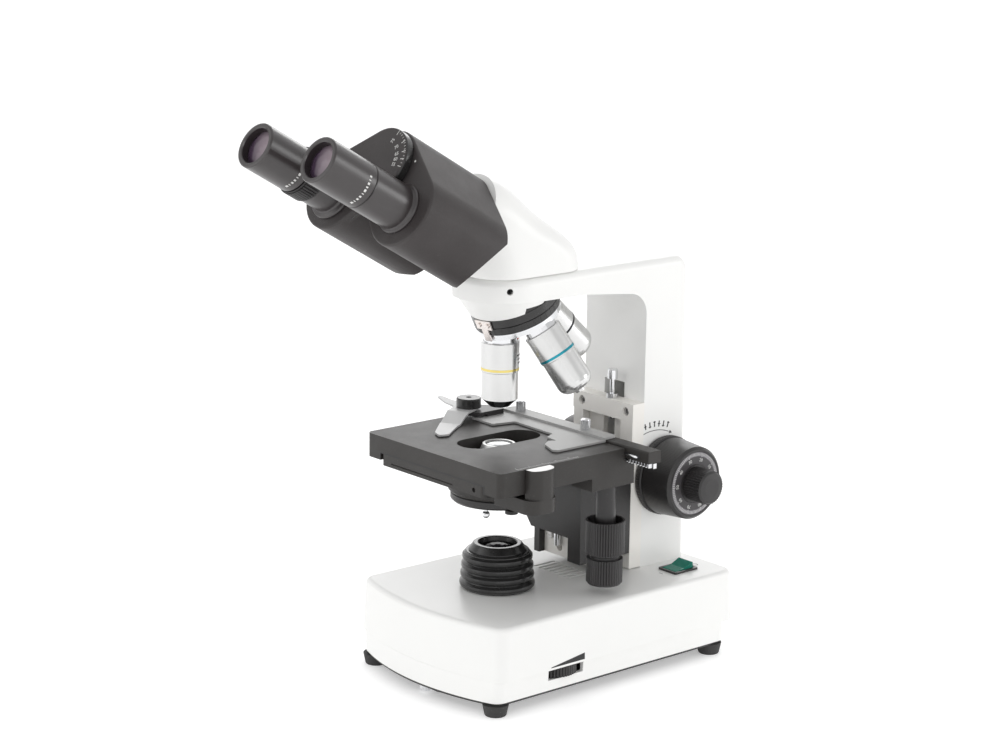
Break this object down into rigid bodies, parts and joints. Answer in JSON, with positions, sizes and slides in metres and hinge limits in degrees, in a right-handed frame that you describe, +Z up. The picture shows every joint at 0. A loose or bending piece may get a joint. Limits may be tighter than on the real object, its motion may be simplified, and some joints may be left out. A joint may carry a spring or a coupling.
{
  "type": "binocular compound microscope",
  "caption": "Binocular compound microscope with a cast C-shaped arm, a turning nosepiece, a mechanical stage with coaxial knobs, coaxial focus knobs and a lit base.",
  "frame": {"origin": "centre of the bounding box at table height", "axes": "+Z up, +X to the right of the person looking into the eyepieces, +Y from that person towards the column"},
  "size_m": [0.177, 0.3168, 0.3569],
  "materials": {
    "white_paint": "satin",
    "base_paint": "satin",
    "black_paint": "satin",
    "black_steel": "satin",
    "rail_paint": "satin",
    "black_plastic": "matte",
    "knob_plastic": "satin",
    "chrome": "polished",
    "steel": "brushed",
    "aluminium": "satin",
    "brass": "satin",
    "rubber": "matte",
    "green_plastic": "gloss",
    "glass": "clear"
  },
  "bodies": {
    "stand": {"base_housing": "base_paint", "base_band": "base_paint", "bottom_plate": "black_steel", "rubber_feet": "rubber", "foot_screws": "steel", "lamp": "glass", "power_board": "black_plastic", "switch_bezel": "black_plastic", "power_inlet": "black_plastic", "illuminator_housing": "black_plastic", "illuminator_ring": "black_plastic", "field_lens": "glass", "arm_column": "white_paint", "guide_rails": "rail_paint", "socket_screws": "steel", "stop_screw": "chrome", "nosepiece_mount": "black_paint", "click_spring": "steel"},
    "door_screw": {"door_thumb_screw": "chrome"},
    "dimmer": {"dimmer_wheel": "black_plastic"},
    "power_switch": {"switch_rocker": "green_plastic"},
    "tension": {"tension_collar": "knob_plastic"},
    "coarse_drive": {"coarse_knobs": "knob_plastic", "coarse_sleeve": "steel"},
    "fine_drive": {"fine_knobs": "knob_plastic", "fine_shaft": "steel"},
    "focus_slider": {"slider_block": "black_paint", "slider_rack": "brass", "slider_plate": "rail_paint"},
    "stage_bracket": {"stage_base": "black_paint", "y_rack": "steel"},
    "condenser": {"condenser_body": "black_paint", "condenser_lenses": "glass"},
    "iris": {"iris_ring": "chrome"},
    "stage": {"stage_top": "black_paint"},
    "y_drive": {"y_knob": "knob_plastic"},
    "x_drive": {"x_knob": "knob_plastic", "x_shaft": "steel"},
    "carriage": {"carriage_bar": "black_paint", "x_rack": "chrome", "slide_holder": "aluminium", "finger_mount": "black_paint"},
    "finger": {"slide_finger": "steel"},
    "nosepiece": {"turret": "black_paint", "objective_collars": "chrome", "objective_10x": "chrome", "objective_40x": "chrome", "objective_100x": "chrome", "objective_4x": "chrome", "objective_lenses": "glass"},
    "head": {"head_body": "white_paint", "hinge_pin": "steel"},
    "right_side": {"right_housing": "black_paint", "right_tube": "black_paint"},
    "left_side": {"left_housing": "black_paint", "left_tube": "black_paint"},
    "right_eye": {"right_eyepiece": "black_plastic"},
    "left_eye": {"left_eyepiece": "black_plastic"},
    "diopter": {"diopter_ring": "black_plastic"}
  },
  "joints": [
    {"name": "door_screw_turn", "type": "hinge", "parent": "stand", "child": "door_screw", "pos_m": [0.0045, -0.04716, 0.005], "axis": [0, 0, 1], "continuous": true},
    {"name": "dimmer_turn", "type": "hinge", "parent": "stand", "child": "dimmer", "pos_m": [0.0551, 0.01053, 0.019], "axis": [0, 0, 1], "range_deg": [-135, 135]},
    {"name": "switch_rock", "type": "hinge", "parent": "stand", "child": "power_switch", "pos_m": [0.0483, 0.12534, 0.055], "axis": [1, 0, 0], "range_deg": [-14, 0]},
    {"name": "tension_turn", "type": "hinge", "parent": "stand", "child": "tension", "pos_m": [0.0335, 0.12684, 0.116], "axis": [1, 0, 0], "range_deg": [-40, 40]},
    {"name": "stage_lift", "type": "slide", "parent": "stand", "child": "focus_slider", "axis": [0, 0, 1], "range_m": [-0.0055, 0.013]},
    {"name": "coarse_turn", "type": "hinge", "parent": "stand", "child": "coarse_drive", "pos_m": [0.0025, 0.12684, 0.116], "axis": [1, 0, 0], "range_deg": [-112, 48]},
    {"name": "fine_turn", "type": "hinge", "parent": "coarse_drive", "child": "fine_drive", "pos_m": [0.0025, 0.12684, 0.116], "axis": [1, 0, 0], "range_deg": [-902, 902]},
    {"name": "fine_lift", "type": "slide", "parent": "focus_slider", "child": "stage_bracket", "axis": [0, 0, 1], "range_m": [-0.0005, 0.0005]},
    {"name": "stage_y", "type": "slide", "parent": "stage_bracket", "child": "stage", "axis": [0, 1, 0], "range_m": [-0.0175, 0.0175]},
    {"name": "y_turn", "type": "hinge", "parent": "stage", "child": "y_drive", "pos_m": [0.0565, 0.05233, 0.11], "axis": [0, 0, 1], "range_deg": [-180, 180]},
    {"name": "stage_x", "type": "slide", "parent": "stage", "child": "carriage", "axis": [1, 0, 0], "range_m": [-0.028, 0.025]},
    {"name": "x_turn", "type": "hinge", "parent": "stage", "child": "x_drive", "pos_m": [0.0565, 0.05233, 0.075], "axis": [0, 0, 1], "range_deg": [-202, 202]},
    {"name": "finger_swing", "type": "hinge", "parent": "carriage", "child": "finger", "pos_m": [-0.0535, 0.03284, 0.157], "axis": [0, 0, 1], "range_deg": [-25, 0], "stiffness_Nm_per_rad": 0.08, "springref_deg": 8.02},
    {"name": "condenser_lift", "type": "slide", "parent": "stage_bracket", "child": "condenser", "axis": [0, 0, 1], "range_m": [-0.012, 0]},
    {"name": "iris_turn", "type": "hinge", "parent": "condenser", "child": "iris", "pos_m": [0.0025, 0.01083, 0.118], "axis": [0, 0, 1], "range_deg": [-34, 34]},
    {"name": "nosepiece_turn", "type": "hinge", "parent": "stand", "child": "nosepiece", "pos_m": [0.0025, 0.01083, 0.261], "axis": [0, -0.4067, 0.9135], "continuous": true},
    {"name": "head_turn", "type": "hinge", "parent": "stand", "child": "head", "pos_m": [0.0025, 0.01083, 0.258], "axis": [0, 0, 1], "continuous": true},
    {"name": "right_spread", "type": "hinge", "parent": "head", "child": "right_side", "pos_m": [0.0025, -0.04127, 0.30975], "axis": [0, -0.866, 0.5], "range_deg": [0, 38]},
    {"name": "left_spread", "type": "hinge", "parent": "head", "child": "left_side", "pos_m": [0.0025, -0.04127, 0.30975], "axis": [0, -0.866, 0.5], "range_deg": [-38, 0]},
    {"name": "right_eyepiece_pull", "type": "slide", "parent": "right_side", "child": "right_eye", "axis": [0, -0.866, 0.5], "range_m": [0, 0.02]},
    {"name": "left_eyepiece_pull", "type": "slide", "parent": "left_side", "child": "left_eye", "axis": [0, -0.866, 0.5], "range_m": [0, 0.02]},
    {"name": "diopter_turn", "type": "hinge", "parent": "left_side", "child": "diopter", "pos_m": [-0.0252, -0.11766, 0.32545], "axis": [0, -0.866, 0.5], "range_deg": [-150, 150]}
  ],
  "couplings": [
    {"joint": "coarse_turn", "follows": "stage_lift", "rad_per_m": -148.15},
    {"joint": "fine_turn", "follows": "fine_lift", "rad_per_m": 31416},
    {"joint": "y_turn", "follows": "stage_y", "rad_per_m": 178.57},
    {"joint": "x_turn", "follows": "stage_x", "rad_per_m": -125},
    {"joint": "left_spread", "follows": "right_spread", "ratio": -1}
  ]
}
